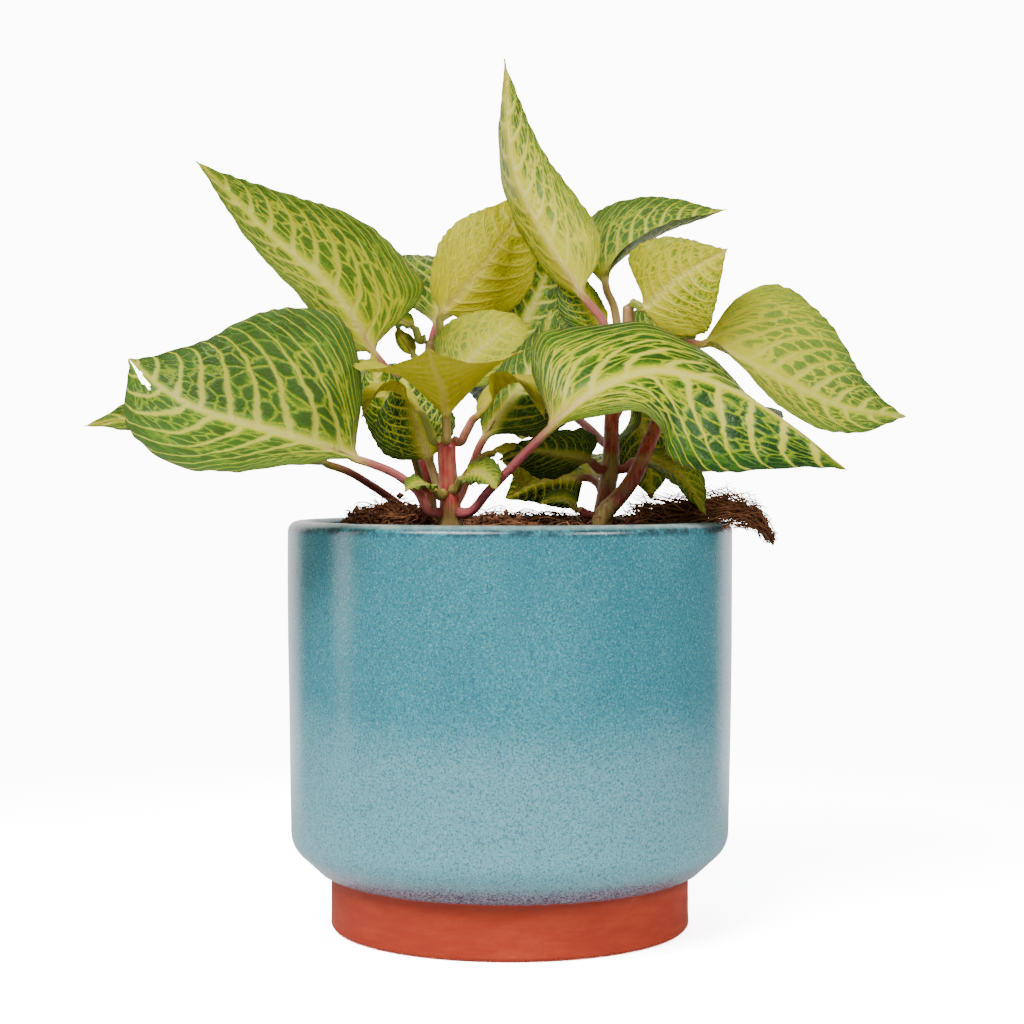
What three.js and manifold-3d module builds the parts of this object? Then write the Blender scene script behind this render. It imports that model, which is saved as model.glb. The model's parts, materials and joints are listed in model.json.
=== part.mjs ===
// A bloodleaf (a broad-leaved foliage plant with red stalks and yellow-veined leaves) growing in a glazed pot.
// Units are millimetres and +Z is up. The origin is the centre of the pot's flat underside, on its axis,
// +X is to the right and +Y to the back. Every leaf, stem, clump and vessel is one closed solid of its own.
import * as THREE from "three";
import { mergeVertices } from "three/addons/utils/BufferGeometryUtils.js";
import Module from "manifold-3d";

// ---------------------------------------------------------------- driving dimensions
const POT_RADIUS = 70; // outside of the glazed wall, at the rim
const POT_HEIGHT = 128;
const POT_WALL = 5.5;
const POT_TAPER = 0.9; // how much narrower the wall is where the lower edge begins
const POT_EDGE_TOP = 28; // where the wall starts to turn in towards the foot
const FOOT_RADIUS = 56.6;
const FOOT_HEIGHT = 17;
const FLOOR_TOP = 12; // inside floor of the pot
const GROW_RADIUS = 59; // grow pot, outside, under its rim
const GROW_BASE_RADIUS = 45;
const GROW_TOP = 122;
const GROW_WALL = 1;
const GROW_OFFSET = 3.4; // the grow pot stands a little to the right inside the glazed pot
const GAP = 0.4; // clear gap between solids that touch in life
const STEM_SIDES = 8;
const SOIL_TOP = 121; // soil level beside the grow pot's rim
const SOIL_DOME = 6; // how much higher the soil stands in the middle
const SOIL_BOTTOM = FLOOR_TOP + GAP + GROW_WALL + GAP;

const COLOURS = {
  glaze: { color: 0x4f9ba6, roughness: 0.18, metalness: 0 },
  plastic: { color: 0x26241f, roughness: 0.6, metalness: 0 },
  soil: { color: 0x3b2417, roughness: 0.95, metalness: 0 },
  coir: { color: 0x7a4526, roughness: 0.9, metalness: 0 },
  stem: { color: 0xa8484a, roughness: 0.5, metalness: 0 },
  leaf_green: { color: 0x5d8f1c, roughness: 0.45, metalness: 0 },
  leaf_yellow: { color: 0xc9cf33, roughness: 0.45, metalness: 0 },
};

const wasm = await Module();
wasm.setup();

const plant = new THREE.Group();
plant.name = "potted_bloodleaf";

function material(slot) {
  return new THREE.MeshStandardMaterial(COLOURS[slot]);
}

function addMesh(name, geometry, slot) {
  const mesh = new THREE.Mesh(geometry, material(slot));
  mesh.name = name;
  plant.add(mesh);
  return mesh;
}

const vec = (p) => new THREE.Vector3(...p);
const mix = (a, b, t) => a + (b - a) * t;

// ---------------------------------------------------------------- solids from rings
// Joins rings of equally many points into one closed tube. Each end closes on a point of its own.
function loft(start, rings, end, topSide = rings[0].length) {
  const sides = rings[0].length;
  const points = [start, ...rings.flat(), end];
  const last = points.length - 1;
  const at = (ring, side) => 1 + ring * sides + (side % sides);
  const faces = [];
  for (let side = 0; side < sides; side++) {
    faces.push(0, at(0, side + 1), at(0, side));
    for (let ring = 0; ring + 1 < rings.length; ring++) {
      const [a, b, c, d] = [at(ring, side), at(ring, side + 1), at(ring + 1, side + 1), at(ring + 1, side)];
      faces.push(...(side < topSide ? [a, b, d, d, b, c] : [a, b, c, a, c, d]));
    }
    faces.push(last, at(rings.length - 1, side), at(rings.length - 1, side + 1));
  }
  const geometry = new THREE.BufferGeometry().setFromPoints(points);
  geometry.setIndex(faces);
  geometry.computeVertexNormals();
  return geometry;
}

function solidOf(geometry) {
  const bare = geometry.clone();
  bare.deleteAttribute("normal");
  bare.deleteAttribute("uv");
  const merged = mergeVertices(bare, 1e-3);
  return new wasm.Manifold(
    new wasm.Mesh({
      numProp: 3,
      vertProperties: new Float32Array(merged.attributes.position.array),
      triVerts: new Uint32Array(merged.index.array),
    }),
  );
}

function geometryOf(solid) {
  const mesh = solid.getMesh();
  const geometry = new THREE.BufferGeometry();
  geometry.setAttribute("position", new THREE.BufferAttribute(mesh.vertProperties, 3));
  geometry.setIndex(new THREE.BufferAttribute(mesh.triVerts, 1));
  geometry.computeVertexNormals();
  return geometry;
}

// A lathe profile given as [radius, height] pairs from the axis round to the axis.
function turned(profile, segments) {
  const geometry = new THREE.LatheGeometry(
    profile.map(([r, z]) => new THREE.Vector2(r, z)),
    segments,
  );
  return geometry.rotateX(Math.PI / 2);
}

// Points of a round corner: an arc about (r, z) from one angle to another, in degrees from +radius towards +height.
function corner(r, z, radius, from, to, steps) {
  return Array.from({ length: steps + 1 }, (_, i) => {
    const angle = THREE.MathUtils.degToRad(mix(from, to, i / steps));
    return [r + radius * Math.cos(angle), z + radius * Math.sin(angle)];
  });
}

// ---------------------------------------------------------------- the pot and what fills it
function buildPot() {
  const lower = POT_RADIUS - POT_TAPER;
  const lip = POT_WALL / 2;
  const profile = [
    [0, 0],
    [FOOT_RADIUS - 4, 0],
    ...corner(FOOT_RADIUS - 4, 4, 4, -60, 0, 2),
    [FOOT_RADIUS, FOOT_HEIGHT],
    [FOOT_RADIUS + 2.4, FOOT_HEIGHT + 0.4],
    [lower - 1.2, POT_EDGE_TOP - 3.6],
    [lower, POT_EDGE_TOP],
    [POT_RADIUS, 90],
    ...corner(POT_RADIUS - lip, POT_HEIGHT - lip, lip, 0, 180, 4),
    [POT_RADIUS - POT_WALL, 90],
    [lower - POT_WALL, POT_EDGE_TOP + 4],
    [FOOT_RADIUS - 6, FLOOR_TOP],
    [0, FLOOR_TOP],
  ];
  addMesh("glazed_pot", turned(profile, 48), "glaze");
}

// The thin nursery pot that the plant was grown in, with drain holes in its floor.
function buildGrowPot() {
  const floor = FLOOR_TOP + GAP;
  const rim = GROW_RADIUS + 1.5;
  const slope = (z) => mix(GROW_BASE_RADIUS, GROW_RADIUS, (z - floor) / (GROW_TOP - floor));
  const profile = [
    [0, floor],
    [GROW_BASE_RADIUS, floor],
    [slope(GROW_TOP - 9), GROW_TOP - 9],
    [rim, GROW_TOP - 9],
    [rim, GROW_TOP],
    [slope(GROW_TOP) - GROW_WALL, GROW_TOP],
    [GROW_BASE_RADIUS - GROW_WALL, floor + GROW_WALL],
    [0, floor + GROW_WALL],
  ];
  let solid = solidOf(turned(profile, 40));
  const drains = 6;
  for (let i = 0; i < drains; i++) {
    const turn = (i / drains) * 2 * Math.PI;
    const drain = new THREE.CylinderGeometry(4, 4, 8, 10).rotateX(Math.PI / 2);
    drain.translate(30 * Math.cos(turn), 30 * Math.sin(turn), floor);
    solid = solid.subtract(solidOf(drain));
  }
  addMesh("grow_pot", geometryOf(solid).translate(GROW_OFFSET, 0, 0), "plastic");
}

// Height of the soil's surface: a low dome with soft lumps.
function soilHeight(x, y) {
  const out = Math.min(1, Math.hypot(x - GROW_OFFSET, y) / GROW_RADIUS);
  const lumps = Math.sin(x * 0.16 + 1) * Math.cos(y * 0.19) + 0.6 * Math.sin(x * 0.09 - y * 0.24);
  return SOIL_TOP + SOIL_DOME * (1 - out * out) + 0.9 * lumps * (1 - out ** 4);
}

function buildSoil(stems) {
  const segments = 28;
  const bands = [10, 22, 34, 46];
  const inside = (z) =>
    mix(GROW_BASE_RADIUS, GROW_RADIUS, (z - FLOOR_TOP - GAP) / (GROW_TOP - FLOOR_TOP - GAP)) - GROW_WALL - GAP * 1.6;
  const bottom = SOIL_BOTTOM;
  const circle = (radius, height) =>
    Array.from({ length: segments }, (_, i) => {
      const turn = (i / segments) * 2 * Math.PI;
      const x = GROW_OFFSET + radius * Math.cos(turn);
      const y = radius * Math.sin(turn);
      return new THREE.Vector3(x, y, height ?? soilHeight(x, y));
    });
  const rings = [
    circle(inside(bottom), bottom),
    circle(inside(60), 60),
    circle(inside(SOIL_TOP), SOIL_TOP - 0.5),
    ...bands.reverse().map((radius) => circle(radius)),
  ];
  const lowest = new THREE.Vector3(GROW_OFFSET, 0, bottom);
  const highest = new THREE.Vector3(GROW_OFFSET, 0, soilHeight(GROW_OFFSET, 0));
  let solid = solidOf(loft(lowest, rings, highest));
  for (const stem of stems) {
    solid = solid.subtract(solidOf(stem));
  }
  addMesh("soil", geometryOf(solid), "soil");
}

// ---------------------------------------------------------------- stems
// A stem is a tapering round stalk with a swelling at each leaf joint, and it goes down into the soil.
const STEM_FOOT = 62; // height at which every stem ends in the soil

const STEMS = {
  stem_back_left: {
    path: [[-22, 6, 96], [-26, 10, 129], [-27, 10, 147], [-26, 9, 166], [-25, 8, 186]],
    radius: [2.9, 1.9],
    joints: [127, 163, 185],
  },
  stem_front_left: {
    path: [[-15, -28, 96], [-18, -34, 128], [-18, -34, 136], [-19, -34, 146], [-19, -34, 153]],
    radius: [3.2, 1.7],
    joints: [130, 152],
  },
  stem_front_right: {
    path: [[22, -10, 96], [28, -16, 128], [31, -14, 145], [32, -12, 164], [36, -9, 181], [37, -8, 196]],
    radius: [2.9, 1.8],
    joints: [144, 180, 195],
  },
  stem_right_branch: {
    path: [[26, -24, 96], [28, -27, 129], [36, -28, 139], [44, -24, 156], [49, -18, 168]],
    radius: [2.6, 1.6],
    joints: [130, 167],
  },
  stem_stub: {
    path: [[50, -6, 96], [56, -5, 118], [57.5, -4, 128], [57, -4, 134]],
    radius: [1.5, 1.5],
    joints: [130],
  },
};

function stemCurve({ path }) {
  const foot = [path[0][0], path[0][1], STEM_FOOT];
  return new THREE.CatmullRomCurve3([foot, ...path].map(vec), false, "centripetal");
}

function stemRadius({ radius, joints }, height) {
  const up = THREE.MathUtils.clamp((height - 125) / 65, 0, 1);
  const swell = Math.max(...joints.map((joint) => Math.exp(-(((height - joint) / 3) ** 2))));
  return mix(radius[0], radius[1], up) * (1 + 0.16 * swell);
}

// grow widens the stalk all round: the soil is cut with a stem that is one gap wider.
function stemSolid(spec, grow = 0) {
  const curve = stemCurve(spec);
  const steps = 18;
  const rings = [];
  for (let i = 0; i <= steps; i++) {
    const centre = curve.getPointAt(i / steps);
    const along = curve.getTangentAt(i / steps);
    const side = new THREE.Vector3(0, 1, 0).cross(along).normalize();
    const back = along.clone().cross(side);
    const radius = stemRadius(spec, centre.z) + grow;
    rings.push(circleRing(centre, side, back, radius, STEM_SIDES));
  }
  return loft(curve.getPointAt(0), rings, curve.getPointAt(1));
}

function circleRing(centre, side, back, radius, sides) {
  return Array.from({ length: sides }, (_, k) => {
    const turn = (k / sides) * 2 * Math.PI;
    return centre
      .clone()
      .addScaledVector(side, radius * Math.cos(turn))
      .addScaledVector(back, radius * Math.sin(turn));
  });
}

// ---------------------------------------------------------------- coconut fibre on top of the soil
// Each matted clump is a lumpy roll through the given points, with a radius at each of them.
const CLUMPS = {
  coir_left: {
    path: [[-49, -28, 127.5], [-45, -35, 129], [-37, -36, 129.5], [-30, -30, 129.5], [-27, -22, 129]],
    radii: [2.5, 4.6, 5.6, 5, 3],
  },
  coir_middle: {
    path: [[-12, -47, 128], [-6, -47, 128.5], [2, -49, 127.5], [9, -49, 127]],
    radii: [2.5, 3.6, 2.2, 1.2],
  },
  coir_right: {
    path: [[38, -30, 128.5], [48, -26, 130], [60, -22, 131.5], [70, -20, 131.5], [77, -19, 127.5], [80, -19, 123]],
    radii: [3, 4.8, 4, 3, 2, 1.2],
  },
};
const CLUMP_SIDES = 10;
const CLUMP_STEPS = 3; // rings from one point of a clump's path to the next
const CLUMP_LUMPS = 0.08; // how far a clump swells and narrows, as a share of its radius

function clumpSolid({ path, radii }) {
  const curve = new THREE.CatmullRomCurve3(path.map(vec), false, "centripetal");
  const steps = CLUMP_STEPS * (path.length - 1);
  const rings = [];
  for (let i = 0; i <= steps; i++) {
    const centre = curve.getPoint(i / steps);
    const along = curve.getTangent(i / steps);
    const side = new THREE.Vector3(0, 0, 1).cross(along).normalize();
    const before = Math.min(Math.floor(i / CLUMP_STEPS), radii.length - 2);
    const swell = 1 + CLUMP_LUMPS * Math.sin(i * 2.4);
    const radius = mix(radii[before], radii[before + 1], i / CLUMP_STEPS - before) * swell;
    rings.push(circleRing(centre, side, along.clone().cross(side), radius, CLUMP_SIDES));
  }
  return loft(curve.getPoint(0), rings, curve.getPoint(1));
}

// ---------------------------------------------------------------- leaves
const PETIOLE_RADIUS = 1.4;
const BLADE_THICKNESS = 0.7;
const MIDRIB_THICKNESS = 1.3;
const PETIOLE_STEPS = 4;
const PETIOLE_START = 0.15; // where in its first step the first ring stands
const BLADE_STEPS = [0.03, 0.1, 0.2, 0.32, 0.45, 0.58, 0.72, 0.85, 0.95];

// How wide a half blade is along its midrib, as a share of its widest: a full base and a drawn-out tip.
function bladeWidth(along, widest) {
  if (along < widest) {
    return (1 - (1 - along / widest) ** 2) ** 0.55;
  }
  return Math.cos((Math.PI / 2) * ((along - widest) / (1 - widest))) ** 1.15;
}

// Where a stalk leaves its stem: on the stem's skin, on the side that faces the blade.
function stalkStart(stemName, height, towards) {
  const spec = STEMS[stemName];
  const curve = stemCurve(spec);
  const centre = curve.getSpacedPoints(300).reduce((best, point) =>
    Math.abs(point.z - height) < Math.abs(best.z - height) ? point : best,
  );
  const out = vec(towards).sub(centre).setZ(0).normalize();
  return centre.addScaledVector(out, stemRadius(spec, height) + PETIOLE_RADIUS + GAP);
}

// A leaf in one piece. stalk gives the stem and the height it grows from, then the stalk's points up to
// the blade; blade gives the midrib's points out to the tip; up is the way the upper surface faces, at the
// base and at the tip. left and right are the half blades as seen from above with the tip ahead: width,
// the angle each half is raised by at the base and at the tip, how much further it curls to its edge, and
// how far along the midrib it is widest. young marks the yellow leaves.
function leafSolid({ stalk, blade, up, left, right }) {
  const [stemName, height, ...bends] = stalk;
  const start = stalkStart(stemName, height, bends[0] ?? blade[0]);
  const points = [start, ...bends.map(vec), ...blade.map(vec)];
  const curve = new THREE.CatmullRomCurve3(points, false, "centripetal");
  const whole = curve.getLength();
  const stalkEnd = lengthTo(curve, (bends.length + 1) / (points.length - 1)) / whole;
  const frameAt = (share, along) => {
    const centre = curve.getPointAt(share);
    const ahead = curve.getTangentAt(share);
    const normal = vec(up[0]).lerp(vec(up[1]), along);
    normal.addScaledVector(ahead, -normal.dot(ahead)).normalize();
    return { centre, normal, toLeft: normal.clone().cross(ahead) };
  };
  const rings = [];
  for (let i = 0; i < PETIOLE_STEPS; i++) {
    const { centre, normal, toLeft } = frameAt((stalkEnd * (i + PETIOLE_START)) / PETIOLE_STEPS, 0);
    const radius = i === 0 ? PETIOLE_RADIUS * 1.1 : PETIOLE_RADIUS;
    rings.push(circleRing(centre, toLeft.clone().negate(), normal.clone().negate(), radius, 8));
  }
  for (const along of BLADE_STEPS) {
    const frame = frameAt(mix(stalkEnd, 1, along), along);
    rings.push(bladeRing(frame, along, left, right));
  }
  return loft(start, rings, curve.getPointAt(1), 4);
}

function lengthTo(curve, parameter) {
  const lengths = curve.getLengths(400);
  return lengths[Math.round(parameter * 400)];
}

// Eight points round the blade: right edge, three across the top, left edge, three across the underside.
// The outer underside points lie nearer the midrib than those on top.
function bladeRing({ centre, normal, toLeft }, along, left, right) {
  const across = (half, direction, outward) => {
    const [width, baseRaise, tipRaise, curl, widest] = half;
    const raise = THREE.MathUtils.degToRad(mix(baseRaise, tipRaise, along));
    const bend = THREE.MathUtils.degToRad(curl);
    const side = toLeft.clone().multiplyScalar(direction);
    const reach = Math.max(width * bladeWidth(along, widest), PETIOLE_RADIUS * 0.8 * (1 - along));
    const point = centre.clone();
    const pieces = 8;
    for (let i = 0; i < pieces; i++) {
      const angle = raise + (bend * (outward * (i + 0.5))) / pieces;
      point.addScaledVector(side, (Math.cos(angle) * reach * outward) / pieces);
      point.addScaledVector(normal, (Math.sin(angle) * reach * outward) / pieces);
    }
    const angle = raise + bend * outward;
    const skin = normal.clone().multiplyScalar(Math.cos(angle)).addScaledVector(side, -Math.sin(angle));
    return { point, skin };
  };
  const thin = Math.min(1, 3 * (1 - along));
  const under = ({ point, skin }, thickness) => point.clone().addScaledVector(skin, -thickness * thin);
  const rightEdge = across(right, -1, 1);
  const leftEdge = across(left, 1, 1);
  return [
    under(rightEdge, BLADE_THICKNESS / 2),
    under(across(right, -1, 0.5), BLADE_THICKNESS),
    under({ point: centre, skin: normal }, MIDRIB_THICKNESS),
    under(across(left, 1, 0.5), BLADE_THICKNESS),
    under(leftEdge, BLADE_THICKNESS / 2),
    across(left, 1, 0.5).point,
    centre.clone(),
    across(right, -1, 0.5).point,
  ];
}

// Each leaf's stalk ends where its blade's first point begins.
const LEAVES = {
  leaf_left_low: {
    stalk: ["stem_front_left", 130, [-30, -40, 140]],
    blade: [[-47, -46, 148], [-62, -50, 153], [-91, -52, 162], [-102, -48, 168], [-114, -38, 177]],
    up: [[0, -0.85, 0.5], [0, -0.8, 0.6]],
    left: [28, 58, -15, 0, 0.42],
    right: [38, 30, 30, 0, 0.24],
  },
  leaf_left_high: {
    stalk: ["stem_back_left", 163, [-36, 4, 172]],
    blade: [[-44, -2, 182], [-56, -6, 200], [-75, -8, 217], [-98, -8, 240]],
    up: [[-0.1, -1, 0.1], [0, -1, 0.1]],
    left: [21, 65, 65, 0, 0.25],
    right: [25, 5, 5, 10, 0.12],
  },
  leaf_left_back: {
    stalk: ["stem_back_left", 128, [-42, -6, 138]],
    blade: [[-58, -18, 147], [-86, -24, 155], [-116, -26, 159], [-130, -24, 157]],
    up: [[0, -0.5, 0.9], [0, -0.8, 0.5]],
    left: [17, 10, 20, 10, 0.25],
    right: [17, 10, 20, 10, 0.25],
  },
  leaf_top: {
    stalk: ["stem_front_right", 180, [29, -9, 190]],
    blade: [[22, -8, 199], [11, -4, 216], [1, 2, 239], [-2, 8, 275]],
    up: [[0.2, 0.95, 0], [0.2, 0.95, 0]],
    left: [16, 5, 10, 10, 0.2],
    right: [16, 64, 60, 0, 0.35],
  },
  leaf_crown_yellow: {
    stalk: ["stem_back_left", 185],
    blade: [[-22, 11, 194], [-14, 12, 203], [0, 15, 222], [6, 20, 235]],
    up: [[-0.2, 0.9, 0.35], [-0.2, 0.9, 0.3]],
    left: [19, 0, 10, 10, 0.45],
    right: [16, 0, 10, 10, 0.4],
    young: true,
  },
  leaf_right_high: {
    stalk: ["stem_front_right", 180, [33, 6, 196]],
    blade: [[31, 18, 207], [49, 24, 221], [71, 28, 229]],
    up: [[-0.2, -0.9, 0.3], [-0.2, -0.8, 0.5]],
    left: [18, 5, 10, 5, 0.25],
    right: [16, 75, 60, 0, 0.25],
  },
  leaf_crown_cup: {
    stalk: ["stem_front_right", 195],
    blade: [[41, -12, 194], [52, -20, 203], [66, -27, 211]],
    up: [[-0.2, -0.9, 0.4], [0, -0.9, 0.4]],
    left: [17, 10, 10, 0, 0.25],
    right: [19, 0, 0, -30, 0.4],
    young: true,
  },
  leaf_right_far: {
    stalk: ["stem_front_right", 180, [46, -12, 181]],
    blade: [[60, -16, 183], [77, -20, 175], [103, -24, 163], [121, -24, 160]],
    up: [[0.2, -0.8, 0.55], [0.2, -0.8, 0.55]],
    left: [29, 10, 15, 10, 0.18],
    right: [21, 60, -10, 0, 0.35],
  },
  leaf_front_arch: {
    stalk: ["stem_front_left", 130, [-6, -43, 138]],
    blade: [[14, -50, 158], [26, -50, 167], [41, -48, 173], [60, -50, 170], [80, -54, 159], [98, -58, 144]],
    up: [[-0.5, -0.7, 0.5], [0.3, -0.6, 0.75]],
    left: [26, 35, -95, 0, 0.12],
    right: [30, 40, -52, -10, 0.5],
  },
  leaf_centre_star: {
    stalk: ["stem_front_left", 153],
    blade: [[-19, -39, 161], [-20, -52, 169], [-22, -64, 174], [-23, -76, 178]],
    up: [[0, 0.42, 0.9], [0, 0.42, 0.9]],
    left: [26, 48, -20, 0, 0.4],
    right: [27, 45, -20, 0, 0.4],
    young: true,
  },
  leaf_centre_back: {
    stalk: ["stem_back_left", 163, [-22, 6, 168]],
    blade: [[-18, 2, 172], [-10, 2, 182], [1, 4, 190], [7, 8, 190]],
    up: [[-0.3, -0.8, 0.5], [0.1, -0.7, 0.7]],
    left: [14, 20, 10, 0, 0.3],
    right: [16, 10, 0, 0, 0.4],
    young: true,
  },
  leaf_centre_drip: {
    stalk: ["stem_front_left", 152],
    blade: [[-10, -28, 161], [-2, -30, 170], [4, -35, 171], [10, -42, 159]],
    up: [[0, -0.3, 0.9], [0.7, -0.4, 0.6]],
    left: [12, -10, 20, 0, 0.35],
    right: [10, 10, 20, 0, 0.35],
    young: true,
  },
  leaf_centre_curl: {
    stalk: ["stem_front_left", 152],
    blade: [[-28, -27, 163], [-34, -28, 168], [-40, -33, 168], [-44, -40, 159]],
    up: [[0, -0.3, 0.9], [-0.7, -0.4, 0.5]],
    left: [6, 20, 30, 0, 0.35],
    right: [6, 0, 30, 0, 0.35],
    young: true,
  },
  leaf_hang_outer: {
    stalk: ["stem_back_left", 140],
    blade: [[-31, -1, 150], [-36, -9, 160], [-41, -13, 170], [-43, -13, 181]],
    up: [[-0.5, 0.7, -0.5], [-0.5, 0.8, 0]],
    left: [15, 10, 10, 10, 0.35],
    right: [9, 30, 30, 10, 0.35],
  },
  leaf_hang_inner: {
    stalk: ["stem_front_left", 136],
    blade: [[-25, -25, 148], [-28, -24, 156], [-31, -22, 165], [-33, -20, 173]],
    up: [[0.2, 0.9, -0.3], [-0.2, 0.9, 0]],
    left: [12, 5, 5, 10, 0.35],
    right: [14, 10, 10, 10, 0.35],
  },
  leaf_shade_big: {
    stalk: ["stem_front_left", 135, [-12, -24, 144]],
    blade: [[-7, -16, 156], [1, -13, 167], [9, -10, 181], [13, -8, 194]],
    up: [[-0.3, -0.8, 0.4], [-0.3, -0.8, 0.4]],
    left: [9, 20, 20, 0, 0.35],
    right: [24, 5, 5, 10, 0.35],
  },
  leaf_shade_tall: {
    stalk: ["stem_back_left", 163, [-16, 14, 170]],
    blade: [[-2, 22, 180], [6, 24, 195], [12, 24, 209], [15, 24, 222]],
    up: [[-0.2, -0.9, 0.3], [-0.2, -0.9, 0.3]],
    left: [12, 20, 20, 0, 0.4],
    right: [17, 10, 10, 0, 0.4],
  },
  leaf_low_middle: {
    stalk: ["stem_front_right", 144],
    blade: [[24, -20, 147], [15, -26, 149], [6, -30, 150], [-4, -34, 147]],
    up: [[0, 0.5, 0.9], [0, 0.5, 0.9]],
    left: [13, 15, 0, 0, 0.35],
    right: [11, -20, -20, 0, 0.35],
  },
  leaf_low_right: {
    stalk: ["stem_front_right", 144],
    blade: [[39, -14, 147], [45, -17, 147], [53, -24, 142], [59, -32, 130]],
    up: [[0.1, -0.4, 0.9], [0.6, -0.5, 0.6]],
    left: [8, 20, 10, 0, 0.4],
    right: [8, 10, -10, 0, 0.4],
  },
  leaf_soil_small: {
    stalk: ["stem_front_right", 130],
    blade: [[21, -19, 132], [17, -21, 135], [13, -23, 135], [9, -25, 133]],
    up: [[0, -0.6, 0.8], [0, -0.6, 0.8]],
    left: [4, 10, 10, 0, 0.35],
    right: [4.5, 10, 10, 0, 0.35],
  },
  leaf_back_middle: {
    stalk: ["stem_front_right", 136, [27, 4, 140]],
    blade: [[22, 14, 142], [15, 20, 142], [6, 25, 139], [-2, 28, 134]],
    up: [[-0.3, 0.9, 0.3], [-0.3, 0.9, 0.3]],
    left: [10, 10, 10, 0, 0.35],
    right: [13, 0, 0, 0, 0.35],
  },
  leaf_back_right: {
    stalk: ["stem_front_right", 161, [36, -1, 166]],
    blade: [[38, 9, 167], [42, 17, 160], [45, 22, 147], [46, 22, 134]],
    up: [[0, -0.7, 0.7], [0.1, -0.9, 0]],
    left: [14, 10, 0, 0, 0.4],
    right: [14, 10, 0, 0, 0.4],
  },
  leaf_back_pale: {
    stalk: ["stem_front_right", 168],
    blade: [[30, 2, 190], [26, 8, 196], [22, 14, 204], [20, 20, 212]],
    up: [[-0.2, 0.9, 0.4], [-0.2, 0.9, 0.4]],
    left: [4, 10, 10, 0, 0.4],
    right: [10, 10, 10, 0, 0.4],
  },
  leaf_under_cup: {
    stalk: ["stem_right_branch", 167],
    blade: [[45, -6, 181], [47, -2, 187], [51, 3, 192], [56, 8, 195]],
    up: [[-0.2, -0.9, 0.4], [0, -0.9, 0.4]],
    left: [11, 10, 10, 0, 0.35],
    right: [12, 10, 10, 0, 0.35],
  },
  leaf_sprout_left: {
    stalk: ["stem_front_left", 136],
    blade: [[-23, -40, 139], [-25, -43, 140], [-28, -46, 140], [-31, -49, 137]],
    up: [[0, -0.5, 0.8], [-0.3, -0.6, 0.6]],
    left: [4.5, 10, 10, 0, 0.4],
    right: [4.5, 10, 10, 0, 0.4],
  },
  leaf_sprout_right: {
    stalk: ["stem_front_left", 138],
    blade: [[-14, -42, 142], [-10, -46, 144], [-6, -50, 142], [-4, -53, 138]],
    up: [[0.2, -0.6, 0.8], [0.3, -0.7, 0.6]],
    left: [6, 20, 10, 0, 0.4],
    right: [7, 0, -20, 0, 0.4],
  },
  leaf_twist_dark: {
    stalk: ["stem_back_left", 185],
    blade: [[-31, 9, 190], [-35, 8, 192], [-39, 7, 195], [-43, 6, 198]],
    up: [[0, -0.6, 0.8], [0, -0.8, 0.4]],
    left: [6, 20, 10, 0, 0.4],
    right: [6, 10, 20, 0, 0.4],
  },
  leaf_narrow_left: {
    stalk: ["stem_back_left", 176],
    blade: [[-31, 10, 181], [-33, 10, 184], [-35, 10, 187], [-36, 12, 190]],
    up: [[0.3, -0.9, 0.2], [0.3, -0.9, 0.2]],
    left: [3, 10, 10, 0, 0.4],
    right: [3, 10, 10, 0, 0.4],
  },
  leaf_behind_stalk: {
    stalk: ["stem_front_left", 140, [-10, -26, 146]],
    blade: [[-4, -23, 150], [0, -23, 149], [3, -24, 144], [2, -26, 137]],
    up: [[0, -0.5, 0.9], [0.8, -0.6, 0.1]],
    left: [6, 10, 10, 0, 0.4],
    right: [6, 10, 10, 0, 0.4],
    young: true,
  },
  leaf_rear_left: {
    stalk: ["stem_back_left", 146, [-38, 26, 158]],
    blade: [[-46, 36, 166], [-60, 52, 174], [-72, 66, 174], [-80, 76, 166]],
    up: [[-0.3, 0.1, 0.95], [-0.5, 0.4, 0.8]],
    left: [24, 20, 0, -10, 0.28],
    right: [24, 20, 0, -10, 0.28],
  },
  leaf_rear_tall: {
    stalk: ["stem_back_left", 174, [-26, 24, 184]],
    blade: [[-24, 34, 194], [-22, 50, 210], [-20, 68, 218], [-18, 84, 216]],
    up: [[0, -0.6, 0.8], [0, 0.2, 0.95]],
    left: [23, 25, 0, -10, 0.28],
    right: [23, 25, 0, -10, 0.28],
  },
  leaf_rear_middle: {
    stalk: ["stem_front_right", 152, [22, 12, 160]],
    blade: [[14, 30, 166], [10, 48, 170], [6, 66, 166], [4, 82, 154]],
    up: [[0, -0.2, 0.95], [0, 0.6, 0.8]],
    left: [25, 20, -10, -10, 0.28],
    right: [25, 20, -10, -10, 0.28],
  },
  leaf_rear_right: {
    stalk: ["stem_right_branch", 158, [52, 0, 163]],
    blade: [[58, 10, 165], [70, 30, 168], [80, 50, 164], [86, 66, 156]],
    up: [[0.2, -0.1, 0.95], [0.5, 0.4, 0.8]],
    left: [22, 15, -10, -10, 0.28],
    right: [22, 15, -10, -10, 0.28],
  },
  leaf_rear_low: {
    stalk: ["stem_front_right", 131, [29, 4, 137]],
    blade: [[27, 26, 142], [25, 42, 148], [22, 60, 150], [20, 76, 143]],
    up: [[0, -0.4, 0.9], [0, 0.6, 0.8]],
    left: [17, 15, -10, -10, 0.3],
    right: [17, 15, -10, -10, 0.3],
  },
};

// ---------------------------------------------------------------- the whole plant
buildPot();
buildGrowPot();
buildSoil(Object.values(STEMS).map((spec) => stemSolid(spec, GAP)));
for (const [name, spec] of Object.entries(STEMS)) {
  addMesh(name, stemSolid(spec), "stem");
}
for (const [name, spec] of Object.entries(CLUMPS)) {
  addMesh(name, clumpSolid(spec), "coir");
}
for (const [name, spec] of Object.entries(LEAVES)) {
  addMesh(name, leafSolid(spec), spec.young ? "leaf_yellow" : "leaf_green");
}

export default plant;
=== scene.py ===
# The looks of a potted bloodleaf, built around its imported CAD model. Lengths are in metres, +Z is up.
import json
import math
import random

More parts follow.
